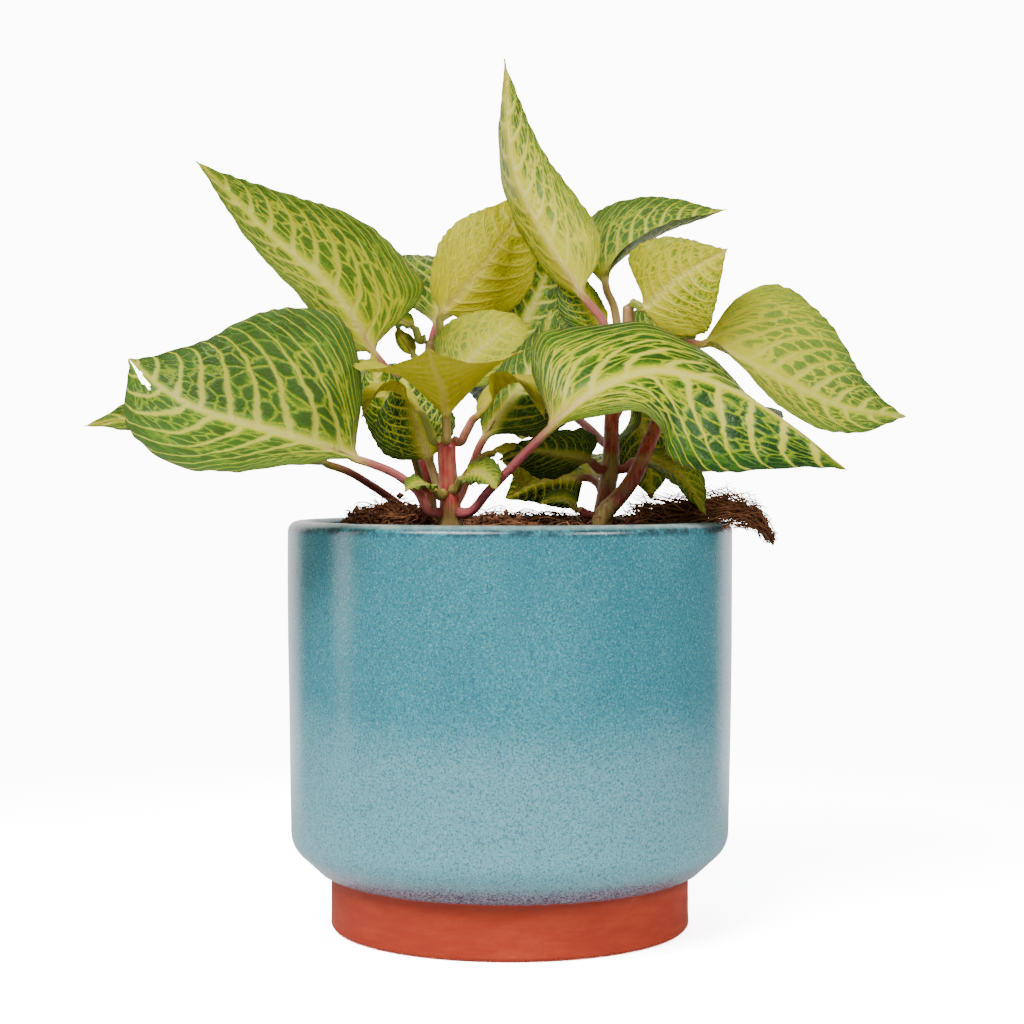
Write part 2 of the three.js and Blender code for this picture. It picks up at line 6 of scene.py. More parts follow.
import bpy
import numpy as np
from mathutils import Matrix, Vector, noise


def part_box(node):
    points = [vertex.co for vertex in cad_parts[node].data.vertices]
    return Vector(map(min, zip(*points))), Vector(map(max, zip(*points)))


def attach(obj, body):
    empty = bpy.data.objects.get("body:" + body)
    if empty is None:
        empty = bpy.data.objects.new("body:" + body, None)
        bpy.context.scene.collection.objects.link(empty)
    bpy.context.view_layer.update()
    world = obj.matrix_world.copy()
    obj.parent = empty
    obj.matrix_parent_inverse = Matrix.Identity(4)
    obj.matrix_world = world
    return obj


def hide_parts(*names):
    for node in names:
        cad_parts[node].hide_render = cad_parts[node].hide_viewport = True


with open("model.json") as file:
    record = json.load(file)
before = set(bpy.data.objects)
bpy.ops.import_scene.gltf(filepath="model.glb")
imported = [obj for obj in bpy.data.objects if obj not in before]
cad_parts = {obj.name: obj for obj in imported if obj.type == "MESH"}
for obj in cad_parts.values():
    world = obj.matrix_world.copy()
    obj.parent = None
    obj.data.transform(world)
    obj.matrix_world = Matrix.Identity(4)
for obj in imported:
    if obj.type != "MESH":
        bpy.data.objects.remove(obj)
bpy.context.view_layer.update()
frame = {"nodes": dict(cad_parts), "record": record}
MM = 0.001
FRONT = -1  # the viewer looks along +Y


# ------------------------------------------------------------------------------------ camera
def make_camera():
    data = bpy.data.cameras.new("studio_camera")
    data.lens = 77.8
    data.sensor_width = 36
    data.clip_start = 0.05
    camera = bpy.data.objects.new("studio_camera", data)
    camera.location = (0.6 * MM, -700 * MM, 144.7 * MM)
    camera.rotation_euler = (math.radians(90 - 1.16), 0, 0)
    bpy.context.collection.objects.link(camera)
    bpy.context.scene.camera = camera


make_camera()


# ------------------------------------------------------------------------------------ small helpers
def smooth(low, high, value):
    t = np.clip((value - low) / (high - low), 0, 1)
    return t * t * (3 - 2 * t)


def unit(vectors):
    return vectors / np.maximum(np.linalg.norm(vectors, axis=-1, keepdims=True), 1e-12)


def make_mesh(name, points, faces, material, smooth_faces=True):
    mesh = bpy.data.meshes.new(name)
    mesh.from_pydata([tuple(p) for p in points], [], [tuple(f) for f in faces])
    mesh.materials.append(material)
    if smooth_faces:
        mesh.polygons.foreach_set("use_smooth", [True] * len(mesh.polygons))
    mesh.update()
    piece = bpy.data.objects.new(name, mesh)
    bpy.context.collection.objects.link(piece)
    return piece


def add_attribute(piece, name, values):
    layer = piece.data.attributes.new(name, "FLOAT", "POINT")
    layer.data.foreach_set("value", np.asarray(values, dtype=np.float32))


def add_uv(piece, name, pairs):
    layer = piece.data.uv_layers.new(name=name)
    corners = np.empty(len(piece.data.loops), dtype=np.int32)
    piece.data.loops.foreach_get("vertex_index", corners)
    layer.data.foreach_set("uv", np.asarray(pairs, dtype=np.float32)[corners].ravel())


def stands_for(piece, slot, *nodes):
    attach(piece, "root")
    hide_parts(*nodes)


# ------------------------------------------------------------------------------------ node materials
class Nodes:
    """A short way to write a node material: each call adds a node and returns its output."""

    def __init__(self, name):
        self.material = bpy.data.materials.new(name)
        self.material.use_nodes = True
        self.tree = self.material.node_tree
        self.shader = self.tree.nodes["Principled BSDF"]

    def put(self, socket, value):
        if isinstance(value, bpy.types.NodeSocket):
            self.tree.links.new(value, socket)
        elif value is not None:
            socket.default_value = value

    def set(self, **values):
        for name, value in values.items():
            self.put(self.shader.inputs[name.replace("_", " ")], value)

    def math(self, operation, a, b=None, c=None, clamp=False):
        node = self.tree.nodes.new("ShaderNodeMath")
        node.operation = operation
        node.use_clamp = clamp
        for socket, value in zip(node.inputs, (a, b, c)):
            self.put(socket, value)
        return node.outputs[0]

    def add(self, a, b):
        return self.math("ADD", a, b)

    def sub(self, a, b):
        return self.math("SUBTRACT", a, b)

    def mul(self, a, b):
        return self.math("MULTIPLY", a, b)

    def ramp(self, value, low, high, to_low=0.0, to_high=1.0):
        node = self.tree.nodes.new("ShaderNodeMapRange")
        node.interpolation_type = "SMOOTHSTEP"
        for socket, item in zip(node.inputs, (value, low, high, to_low, to_high)):
            self.put(socket, item)
        return node.outputs[0]

    def mix(self, share, a, b):
        node = self.tree.nodes.new("ShaderNodeMix")
        node.data_type = "RGBA"
        self.put(node.inputs[0], share)
        self.put(node.inputs[6], self.colour(a))
        self.put(node.inputs[7], self.colour(b))
        return node.outputs[2]

    @staticmethod
    def colour(value):
        if isinstance(value, tuple) and len(value) == 3:
            return (*value, 1)
        return value

    def attribute(self, name):
        node = self.tree.nodes.new("ShaderNodeAttribute")
        node.attribute_name = name
        return node.outputs["Fac"]

    def uv(self, name):
        node = self.tree.nodes.new("ShaderNodeUVMap")
        node.uv_map = name
        return node.outputs[0]

    def place(self):
        return self.tree.nodes.new("ShaderNodeTexCoord").outputs["Object"]

    def split(self, vector):
        node = self.tree.nodes.new("ShaderNodeSeparateXYZ")
        self.put(node.inputs[0], vector)
        return node.outputs

    def join(self, x, y, z):
        node = self.tree.nodes.new("ShaderNodeCombineXYZ")
        for socket, value in zip(node.inputs, (x, y, z)):
            self.put(socket, value)
        return node.outputs[0]

    def stretch(self, vector, scale):
        node = self.tree.nodes.new("ShaderNodeMapping")
        self.put(node.inputs[0], vector)
        node.inputs["Scale"].default_value = scale
        return node.outputs[0]

    def shift(self, vector, amount):
        node = self.tree.nodes.new("ShaderNodeVectorMath")
        self.put(node.inputs[0], vector)
        self.put(node.inputs[1], amount)
        return node.outputs[0]

    def noise(self, vector, scale, detail=3.0, rough=0.5, distortion=0.0):
        node = self.tree.nodes.new("ShaderNodeTexNoise")
        self.put(node.inputs["Vector"], vector)
        node.inputs["Scale"].default_value = scale
        node.inputs["Detail"].default_value = detail
        node.inputs["Roughness"].default_value = rough
        node.inputs["Distortion"].default_value = distortion
        return node.outputs["Fac"]

    def cells(self, vector, scale, feature="F1"):
        node = self.tree.nodes.new("ShaderNodeTexVoronoi")
        node.feature = feature
        self.put(node.inputs["Vector"], vector)
        node.inputs["Scale"].default_value = scale
        return node.outputs["Distance"]

    def bump(self, height, distance, strength=1.0, under=None):
        node = self.tree.nodes.new("ShaderNodeBump")
        node.inputs["Strength"].default_value = strength
        node.inputs["Distance"].default_value = distance
        self.put(node.inputs["Height"], height)
        if under is not None:
            self.put(node.inputs["Normal"], under)
        return node.outputs[0]


# ------------------------------------------------------------------------------------ leaf material
VEIN_PAIRS = 9  # side veins on each half of a blade
VEIN_SWEEP = 0.5  # how far the side veins swing towards the tip
VEIN_POWER = 1.6
MIDRIB_SHIFT = 0.5  # veins of the two halves leave the midrib in turn


def leaf_material():
    n = Nodes("bloodleaf_blade")
    u, v, _ = n.split(n.uv("leaf"))
    x, y, _ = n.split(n.uv("flat"))
    v = n.sub(n.mul(v, 2.0), 1.0)
    side = n.math("ABSOLUTE", v)
    flat = n.join(x, y, n.attribute("seed"))
    youth = n.attribute("youth")
    under = n.attribute("under")
    stalk = n.attribute("stalk")

    wobble = n.sub(n.noise(flat, 14.0, 2.0), 0.5)
    sweep = n.mul(n.math("POWER", side, VEIN_POWER), VEIN_SWEEP)
    start = n.math("DIVIDE", n.sub(u, sweep), n.sub(1.0, sweep))
    start = n.add(start, n.mul(wobble, 0.05))
    turn = n.mul(n.math("GREATER_THAN", v, 0.0), MIDRIB_SHIFT)
    phase = n.math("FRACT", n.add(n.mul(start, float(VEIN_PAIRS)), turn))
    nearest = n.math("ABSOLUTE", n.sub(phase, 0.5))  # 0.5 on a side vein, 0 halfway between two
    off_vein = n.sub(0.5, nearest)

    from_midrib = n.math("ABSOLUTE", y)
    midrib_half = n.ramp(u, 0.0, 0.9, 0.015, 0.004)
    midrib = n.ramp(from_midrib, n.mul(midrib_half, 1.8), n.mul(midrib_half, 0.5), 0.0, 1.0)
    halo = n.ramp(from_midrib, n.ramp(u, 0.0, 0.9, 0.085, 0.03), 0.0, 0.0, 1.0)
    ragged = n.noise(n.join(n.mul(start, 20.0), n.mul(side, 16.0), n.attribute("seed")), 1.0, 3.0, 0.6)
    vein_half = n.mul(n.ramp(side, 0.0, 1.0, 0.17, 0.085), n.ramp(ragged, 0.3, 0.7, 0.7, 1.4))
    vein = n.ramp(off_vein, n.mul(vein_half, 1.3), n.mul(vein_half, 0.1), 0.0, 1.0)
    near_vein = n.math("POWER", n.ramp(off_vein, 0.36, 0.02, 0.0, 1.0), 2.2)
    ladder = n.join(n.mul(start, float(VEIN_PAIRS)), n.mul(side, 6.5), n.add(turn, n.attribute("seed")))
    ladder = n.shift(ladder, n.mul(n.sub(ragged, 0.5), 0.3))
    rungs = n.cells(ladder, 1.25, "DISTANCE_TO_EDGE")
    rung = n.math("POWER", n.ramp(rungs, 0.2, 0.0, 0.0, 1.0), 1.3)
    fine = n.cells(flat, 60.0, "DISTANCE_TO_EDGE")
    fine_line = n.ramp(fine, 0.14, 0.0, 0.0, 1.0)
    patch = n.noise(flat, 9.0, 3.0, 0.6)
    inner = n.ramp(side, 0.95, 0.6, 0.35, 1.0)

    yellow = n.math("MAXIMUM", vein, n.mul(n.mul(rung, 0.6), inner))
    yellow = n.math("MAXIMUM", yellow, n.math("POWER", halo, 1.5))
    glow = n.mul(near_vein, n.ramp(patch, 0.3, 0.7, 0.3, 0.75))
    yellow = n.math("MAXIMUM", yellow, n.mul(glow, inner))
    yellow = n.add(yellow, n.mul(fine_line, 0.1))
    yellow = n.add(yellow, n.mul(n.sub(n.mul(youth, 1.15), 0.06), n.ramp(patch, 0.2, 0.8, 0.75, 1.2)))
    yellow = n.math("ADD", yellow, 0.0, clamp=True)

    green = n.mix(n.ramp(patch, 0.3, 0.7), (0.003, 0.042, 0.001), (0.012, 0.1, 0.001))
    green = n.mix(youth, green, (0.13, 0.27, 0.002))
    lime = n.mix(youth, (0.09, 0.26, 0.001), (0.46, 0.5, 0.001))
    gold = n.mix(youth, (0.7, 0.68, 0.0), (0.78, 0.68, 0.0))
    blade = n.mix(n.ramp(yellow, 0.08, 0.5), green, lime)
    blade = n.mix(n.ramp(yellow, 0.4, 0.85), blade, gold)
    cream = n.mix(youth, (0.88, 0.8, 0.16), (0.9, 0.74, 0.06))
    blade = n.mix(n.mul(vein, n.ramp(side, 0.0, 0.9, 0.6, 0.15)), blade, cream)
    blade = n.mix(midrib, blade, cream)

    pale = n.mix(0.25, blade, (0.2, 0.32, 0.03))
    blade = n.mix(under, blade, pale)
    edge_near = n.ramp(side, 0.97, 1.0, 0.0, 0.7)
    blade = n.mix(n.mul(edge_near, n.ramp(n.noise(flat, 30.0, 2.0), 0.4, 0.6)), blade, (0.22, 0.09, 0.02))

    streak = n.noise(n.join(n.mul(x, 1.5), n.mul(v, 1.6), n.attribute("seed")), 12.0, 4.0, 0.6)
    pink = n.mix(n.ramp(streak, 0.35, 0.65), (0.5, 0.002, 0.055), (0.72, 0.035, 0.12))
    pink = n.mix(n.attribute("blush"), (0.42, 0.46, 0.05), pink)
    creamy = n.mix(n.ramp(stalk, 0.8, 1.12, 0.0, 1.0), pink, cream)
    is_stalk = n.ramp(stalk, 1.0, 1.06, 1.0, 0.0)
    surface = n.mix(is_stalk, blade, creamy)
    low_rib = n.mul(n.mul(midrib, n.ramp(u, 0.0, 0.22, 1.0, 0.0)), n.attribute("blush"))
    surface = n.mix(n.mul(low_rib, 0.5), surface, (0.62, 0.2, 0.2))

    relief = n.math("MAXIMUM", n.mul(rung, 0.6), n.mul(fine_line, 0.25))
    relief = n.mul(n.math("MAXIMUM", relief, vein), n.sub(n.mul(under, 2.0), 1.0))
    pores = n.noise(n.place(), 1800.0, 2.0)
    normal = n.bump(relief, 0.00035, 0.75)
    normal = n.bump(pores, 0.00003, 0.35, normal)
    n.set(Base_Color=surface, Normal=normal)
    n.set(Roughness=n.ramp(n.add(patch, n.mul(under, 0.3)), 0.2, 1.1, 0.3, 0.62))
    n.set(Subsurface_Weight=0.12, Subsurface_Radius=(0.002, 0.002, 0.0006))
    n.set(Specular_IOR_Level=0.42, Sheen_Weight=0.06)

    output = n.tree.nodes["Material Output"]
    through = n.tree.nodes.new("ShaderNodeBsdfTranslucent")
    n.put(through.inputs["Color"], n.mix(0.15, surface, (0.7, 0.7, 0.002)))
    blend = n.tree.nodes.new("ShaderNodeMixShader")
    n.put(blend.inputs[0], n.mul(n.sub(1.0, is_stalk), 0.24))
    n.put(blend.inputs[1], n.shader.outputs[0])
    n.put(blend.inputs[2], through.outputs[0])
    n.put(output.inputs["Surface"], blend.outputs[0])
    return n.material


# ------------------------------------------------------------------------------------ reading CAD tubes
def rings_of(node, sides=8):
    """The rings that a CAD leaf, stem or clump was lofted through, as an array [ring, side, xyz]
    from one end point to the other, with the two end points."""
    mesh = frame["nodes"][node].data
    raw = np.array([v.co for v in mesh.vertices])
    keys = {}
    weld = [keys.setdefault(tuple(np.round(p / 2e-6).astype(int)), len(keys)) for p in raw]
    points = np.zeros((len(keys), 3))
    points[weld] = raw
    beside = [set() for _ in keys]
    for face in mesh.polygons:
        ids = [weld[i] for i in face.vertices]
        for a, b in zip(ids, ids[1:] + ids[:1]):
            beside[a].add(b)
            beside[b].add(a)
    poles = [i for i, near in enumerate(beside) if len(near) == sides]
    layers = [[poles[0]]]
    seen = {poles[0]}
    while True:
        following = sorted({j for i in layers[-1] for j in beside[i]} - seen)
        if not following:
            break
        seen.update(following)
        layers.append(following)
    rings = []
    for layer in layers[1:-1]:
        members = set(layer)
        walk = [layer[0]]
        while len(walk) < len(layer):
            onward = [j for j in beside[walk[-1]] & members if j not in walk]
            walk.append(onward[0])
        ring = points[walk]
        if rings:
            choices = [np.roll(way, k, 0) for way in (ring, ring[::-1]) for k in range(sides)]
            ring = min(choices, key=lambda c: np.sum((c - c.mean(0) - rings[-1] + rings[-1].mean(0)) ** 2))
        rings.append(ring)
    return np.array(rings), points[layers[0][0]], points[layers[-1][0]]


def leaf_rings(node):
    """A CAD leaf's rings from stalk to tip, each turned so that its points are the right edge, three
    underside points, the left edge and three top points."""
    rings, first, last = rings_of(node)
    spans = np.linalg.norm(rings[:, :4] - rings[:, 4:], axis=2)
    widest = int(np.argmax(spans.max(1)))
    if widest < len(rings) / 2:
        rings, first, last = rings[::-1], last, first
        widest = len(rings) - 1 - widest
    spokes = rings[1] - rings[1].mean(0)
    turning = np.cross(spokes, np.roll(spokes, -1, 0)).sum(0)
    if np.dot(turning, rings[2].mean(0) - rings[0].mean(0)) < 0:
        rings = rings[:, ::-1]
    edge = int(np.argmax(np.linalg.norm(rings[widest, :4] - rings[widest, 4:], axis=1)))
    rings = np.roll(rings, -edge, 1)
    wide = rings[widest]
    if np.linalg.norm(wide[1] - wide[3]) > np.linalg.norm(wide[5] - wide[7]):
        rings = np.roll(rings, -4, 1)
    return rings, first, last


# ------------------------------------------------------------------------------------ leaves
STALK_STATIONS = 26
BLADE_STATIONS = 84
ACROSS = 16  # points from the midrib to an edge
BLADE_SKIN = 0.00032
RIB_HEIGHT = 0.00085
VEIN_LIFT = 0.0004


def spline(knots, values, where):
    """A smooth cubic curve through values at the given knots (finite-difference tangents)."""
    slopes = np.gradient(values, knots, axis=0)
    at = np.clip(np.searchsorted(knots, where) - 1, 0, len(knots) - 2)
    step = (knots[at + 1] - knots[at])
    t = (where - knots[at]) / step
    shape = (slice(None),) + (None,) * (values.ndim - 1)
    t, step = t[shape], step[shape]
    return (
        (2 * t**3 - 3 * t**2 + 1) * values[at]
        + (t**3 - 2 * t**2 + t) * step * slopes[at]
        + (3 * t**2 - 2 * t**3) * values[at + 1]
        + (t**3 - t**2) * step * slopes[at + 1]
    )


STEM_MIDDLES = np.vstack([rings_of(name)[0].mean(1) for name in frame["nodes"] if name.startswith("stem_")])
STALK_ROOT = 2.2 * MM  # how far a leaf's stalk reaches into its stem


def vein_start(u, side):
    """Where on the midrib the side vein that passes through (u, side) begins. The material draws the same."""
    sweep = VEIN_SWEEP * side**VEIN_POWER
    return (u - sweep) / (1 - sweep)


def leaf_surface(node, seed, wave, holes):
    """The fine grid of a leaf: top points and underside points by station and by place across."""
    rings, first, last = leaf_rings(node)
    draw = random.Random(seed)
    to_stem = STEM_MIDDLES - first
    nearest = to_stem[np.argmin(np.linalg.norm(to_stem, axis=1))]
    first = first + nearest * min(1, STALK_ROOT / np.linalg.norm(nearest))
    middle = rings.mean(1)
    widths = np.linalg.norm(rings[:, 0] - rings[:, 4], axis=1)
    stalk_rings = 4
    mid_top = rings[:, 6]
    path = np.vstack([first, middle[:stalk_rings], mid_top[stalk_rings:], last])
    reach = np.concatenate([[0], np.cumsum(np.linalg.norm(np.diff(path, axis=0), axis=1))])
    base = (reach[stalk_rings] + reach[stalk_rings + 1]) / 2
    stations = np.concatenate(
        [
            np.linspace(0, base, STALK_STATIONS, endpoint=False),
            base + (reach[-1] - base) * np.linspace(0, 1, BLADE_STATIONS) ** 0.9,
        ]
    )
    tip_ring = np.repeat(last[None], 8, 0)
    start_ring = rings[0] - middle[0] + first
    columns = spline(reach, np.concatenate([start_ring[None], rings, tip_ring[None]]), stations)
    along = np.clip((stations - base) / (reach[-1] - base), 0, 1)
    on_blade = smooth(0.0, 0.07, along)

    across = np.linspace(-1, 1, 2 * ACROSS + 1)
    side = np.abs(across)
    top = np.empty((len(stations), len(across), 3))
    for k, (v, w) in enumerate(zip(across, side)):
        quarter, edge = (5, 4) if v > 0 else (7, 0)
        middle_part = (1 - w) * (1 - 2 * w) * columns[:, 6]
        top[:, k] = middle_part + 4 * w * (1 - w) * columns[:, quarter] + w * (2 * w - 1) * columns[:, edge]
    ahead = unit(np.gradient(top[:, ACROSS], axis=0))
    leftward = unit(columns[:, 4] - columns[:, 0])
    upward = unit(np.cross(ahead, leftward))
    leftward = unit(np.cross(upward, ahead))
    normal = unit(np.cross(np.gradient(top, axis=1), np.gradient(top, axis=0)))
    normal[-1] = normal[-2]
    if np.sum(normal[len(stations) // 2, ACROSS] * upward[len(stations) // 2]) < 0:
        normal = -normal

    u = along[:, None]
    offset = np.linalg.norm(top - top[:, ACROSS : ACROSS + 1], axis=2)
    phase = vein_start(u, side[None]) * VEIN_PAIRS + np.where(across > 0, MIDRIB_SHIFT, 0)[None]
    pillow = np.abs(np.cos(np.pi * phase)) ** 0.7
    within = smooth(0.03, 0.22, side)[None] * smooth(1.02, 0.75, side)[None]
    size = widths.max()
    lift = VEIN_LIFT * pillow * within * smooth(0.0, 0.1, u) * smooth(1.0, 0.8, u) * min(1, size / 0.03)
    lift -= 0.0004 * np.exp(-((offset / 0.0009) ** 2))
    turns = [draw.uniform(0, 6.3) for _ in range(6)]
    ruffle = np.sin(u * 31 + turns[0] + 1.2 * np.sin(u * 9 + turns[1]) + np.where(across > 0, turns[2], 0))
    ruffle = ruffle + 0.5 * np.sin(u * 57 + turns[3] + np.where(across > 0, turns[4], 0))
    lift += wave * size * ruffle * (side[None] ** 3) * smooth(0.02, 0.15, u) * smooth(1.0, 0.85, u)
    top += normal * (lift * on_blade[:, None])[..., None]
    notch = 0.00025 * np.sin(u * 83 + turns[5] + 2 * np.sin(u * 23 + turns[0])) * side[None] ** 6
    inward = unit(top[:, ACROSS : ACROSS + 1] - top)
    inward[:, ACROSS] = 0
    top += inward * (notch * on_blade[:, None] * min(1, size / 0.04))[..., None]

    rib = RIB_HEIGHT * (1 - 0.8 * u) * np.exp(-((offset / (0.0011 * (1.15 - u))) ** 2))
    skin = BLADE_SKIN * (1 - 0.75 * side[None] ** 8) * smooth(1.0, 0.97, u)
    under = top - normal * (skin + rib * smooth(1.0, 0.9, u) + 0.3 * VEIN_LIFT * (1 - pillow) * within)[..., None]

    radius = widths[1] / 2 * (1 + 0.22 * smooth(0.12, 0.0, stations / base))
    radius = radius * (1 - 0.1 * smooth(0.2, 1.0, stations / base))
    centre = spline(reach, path, stations) - upward * (on_blade * 0.0006)[:, None]
    for sheet, way in ((top, 1), (under, -1)):
        angle = np.pi / 2 * across
        round_part = (
            centre[:, None]
            + leftward[:, None] * (radius[:, None] * np.sin(angle)[None])[..., None]
            + upward[:, None] * (way * radius[:, None] * np.cos(angle)[None])[..., None]
        )
        groove = 0.18 * (way > 0) * np.exp(-((across / 0.25) ** 2)) * smooth(0.1, 0.4, stations / base)[:, None]
        round_part -= upward[:, None] * (groove * radius[:, None])[..., None]
        sheet[:] = sheet + (1 - on_blade)[:, None, None] * (round_part - sheet)

    gone = np.zeros((len(stations), len(across)), bool)
    for hole_u, hole_v, half_u, half_v in holes:
        away = np.hypot((u - hole_u) / half_u, (across[None] - hole_v) / half_v)
        gone |= (away < 1) & (u > 0)
    flat = np.stack([u * (reach[-1] - base) * 10 + 0 * offset, np.sign(across)[None] * offset * 10], -1)
    stalk = np.where(along > 0, 1 + along, stations / base)[:, None] + 0 * offset
    return top, under, gone, u + 0 * offset, across[None] + 0 * offset, flat, stalk


def build_leaf(node, material, youth=0.08, fade=(0.0, 0.0), blush=0.8, wave=0.004, seed=1, holes=()):
    top, under, gone, u, v, flat, stalk = leaf_surface(node, seed, wave, holes)
    stations, places = u.shape
    count = stations * places
    index = np.arange(count).reshape(stations, places)
    points = np.concatenate([top.reshape(-1, 3), under.reshape(-1, 3)])
    cell_gone = gone[:-1, :-1] & gone[1:, :-1] & gone[:-1, 1:] & gone[1:, 1:]
    faces = []
    for i in range(stations - 1):
        for k in range(places - 1):
            if cell_gone[i, k]:
                continue
            a, b, c, d = index[i, k], index[i, k + 1], index[i + 1, k + 1], index[i + 1, k]
            faces.append((a, b, c, d))
            faces.append((a + count, d + count, c + count, b + count))
            for di, dk, p, q in ((-1, 0, b, a), (1, 0, d, c), (0, -1, a, d), (0, 1, c, b)):
                ni, nk = i + di, k + dk
                inside = 0 <= ni < stations - 1 and 0 <= nk < places - 1
                if not inside or cell_gone[ni, nk]:
                    faces.append((p, q, q + count, p + count))
    leaf = make_mesh(node.replace("leaf_", "blade_"), points, faces, material)
    twice = lambda grid: np.concatenate([grid.reshape(count, -1)] * 2)
    add_uv(leaf, "leaf", np.hstack([twice(u), twice(v) / 2 + 0.5]))
    add_uv(leaf, "flat", twice(flat))
    add_attribute(leaf, "under", np.repeat([0, 1], count))
    add_attribute(leaf, "stalk", twice(stalk)[:, 0])
    add_attribute(leaf, "seed", np.full(2 * count, seed * 3.7))
    add_attribute(leaf, "blush", np.full(2 * count, blush))
    add_attribute(leaf, "youth", np.clip(youth + fade[0] * (1 - twice(u)[:, 0]) + fade[1] * twice(u)[:, 0], 0, 1))
    slot = next(p["material_slot"] for p in frame["record"]["subparts"] if p["node"] == node)
    stands_for(leaf, slot, node)
    return leaf


# youth runs from a dark green leaf with yellow veins to an all yellow one, fade adds to it at the base
# and at the tip, blush is how crimson the stalk is, and wave is how crinkled the blade is. A hole is a
# tear: its middle along and across the blade, and half its size each way.
LEAF_LOOKS = {
    "leaf_left_low": dict(youth=0.0, fade=(0.1, 0.0), wave=0.005, holes=[(0.9, -0.2, 0.1, 0.14)]),
    "leaf_left_high": dict(youth=0.14, fade=(0.12, 0.0), blush=0.8),
    "leaf_left_back": dict(youth=0.1, wave=0.02),
    "leaf_top": dict(youth=0.26, fade=(0.25, -0.1), blush=0.75, wave=0.008),
    "leaf_crown_yellow": dict(youth=0.55, fade=(0.15, 0.0), blush=0.1),
    "leaf_right_high": dict(youth=0.12, blush=0.3),
    "leaf_crown_cup": dict(youth=0.34, fade=(0.2, 0.1), blush=0.0),
    "leaf_right_far": dict(youth=0.14, fade=(0.4, -0.1), holes=[(0.16, 0.4, 0.02, 0.22)]),
    "leaf_front_arch": dict(youth=0.0, fade=(0.2, 0.0), blush=0.9, wave=0.006),
    "leaf_centre_star": dict(youth=0.6, fade=(0.2, 0.0), blush=0.25),
    "leaf_centre_back": dict(youth=0.25, fade=(0.0, 0.5), blush=0.0),
    "leaf_centre_drip": dict(youth=1.0, blush=0.6),
    "leaf_centre_curl": dict(youth=0.8, blush=0.0),
    "leaf_hang_outer": dict(youth=0.1, blush=0.3),
    "leaf_hang_inner": dict(youth=0.08, blush=0.3),
    "leaf_shade_big": dict(youth=0.0, blush=0.7),
    "leaf_shade_tall": dict(youth=0.04, blush=0.5),
    "leaf_low_middle": dict(youth=0.0, wave=0.02),
    "leaf_low_right": dict(youth=0.15, wave=0.02),
    "leaf_behind_stalk": dict(youth=0.8, wave=0.02, blush=0.2),
    "leaf_sprout_left": dict(youth=0.12, wave=0.05, blush=0.2),
    "leaf_sprout_right": dict(youth=0.12, wave=0.05, blush=0.2),
    "leaf_twist_dark": dict(youth=0.0, wave=0.05, blush=0.0),
    "leaf_narrow_left": dict(youth=0.1, blush=0.0),
}


# ------------------------------------------------------------------------------------ stems
STEM_SIDES = 28
STEM_STATIONS = 110


def stem_material():
    n = Nodes("bloodleaf_stem")
    place = n.place()
    x, y, z = n.split(place)
    streaks = n.noise(n.stretch(place, (900, 900, 60)), 1.0, 4.0, 0.6)
    blotch = n.noise(place, 120.0, 3.0, 0.55)
    red = n.mix(n.ramp(streaks, 0.35, 0.68), (0.32, 0.012, 0.02), (0.6, 0.11, 0.07))
    red = n.mix(n.ramp(blotch, 0.45, 0.75), red, (0.5, 0.24, 0.11))
    green = n.mix(n.ramp(streaks, 0.3, 0.7), (0.3, 0.26, 0.06), (0.5, 0.42, 0.14))
    surface = n.mix(n.mul(n.attribute("joint"), 0.75), red, green)
    surface = n.mix(n.ramp(z, 0.15, 0.2, 0.0, 0.6), surface, green)
    bark = n.mix(n.ramp(blotch, 0.4, 0.6), (0.05, 0.03, 0.018), (0.13, 0.08, 0.04))
    surface = n.mix(n.attribute("bark"), surface, bark)
    speck = n.ramp(n.cells(place, 420.0), 0.1, 0.05, 0.0, 0.7)
    surface = n.mix(speck, surface, (0.12, 0.03, 0.02))
    normal = n.bump(streaks, 0.0004, 0.55)
    normal = n.bump(n.noise(place, 2200.0, 2.0), 0.00004, 0.4, normal)
    n.set(Base_Color=surface, Normal=normal, Roughness=n.ramp(streaks, 0.2, 0.8, 0.32, 0.5))
    n.set(Subsurface_Weight=0.15, Subsurface_Radius=(0.002, 0.0008, 0.0005))
    return n.material


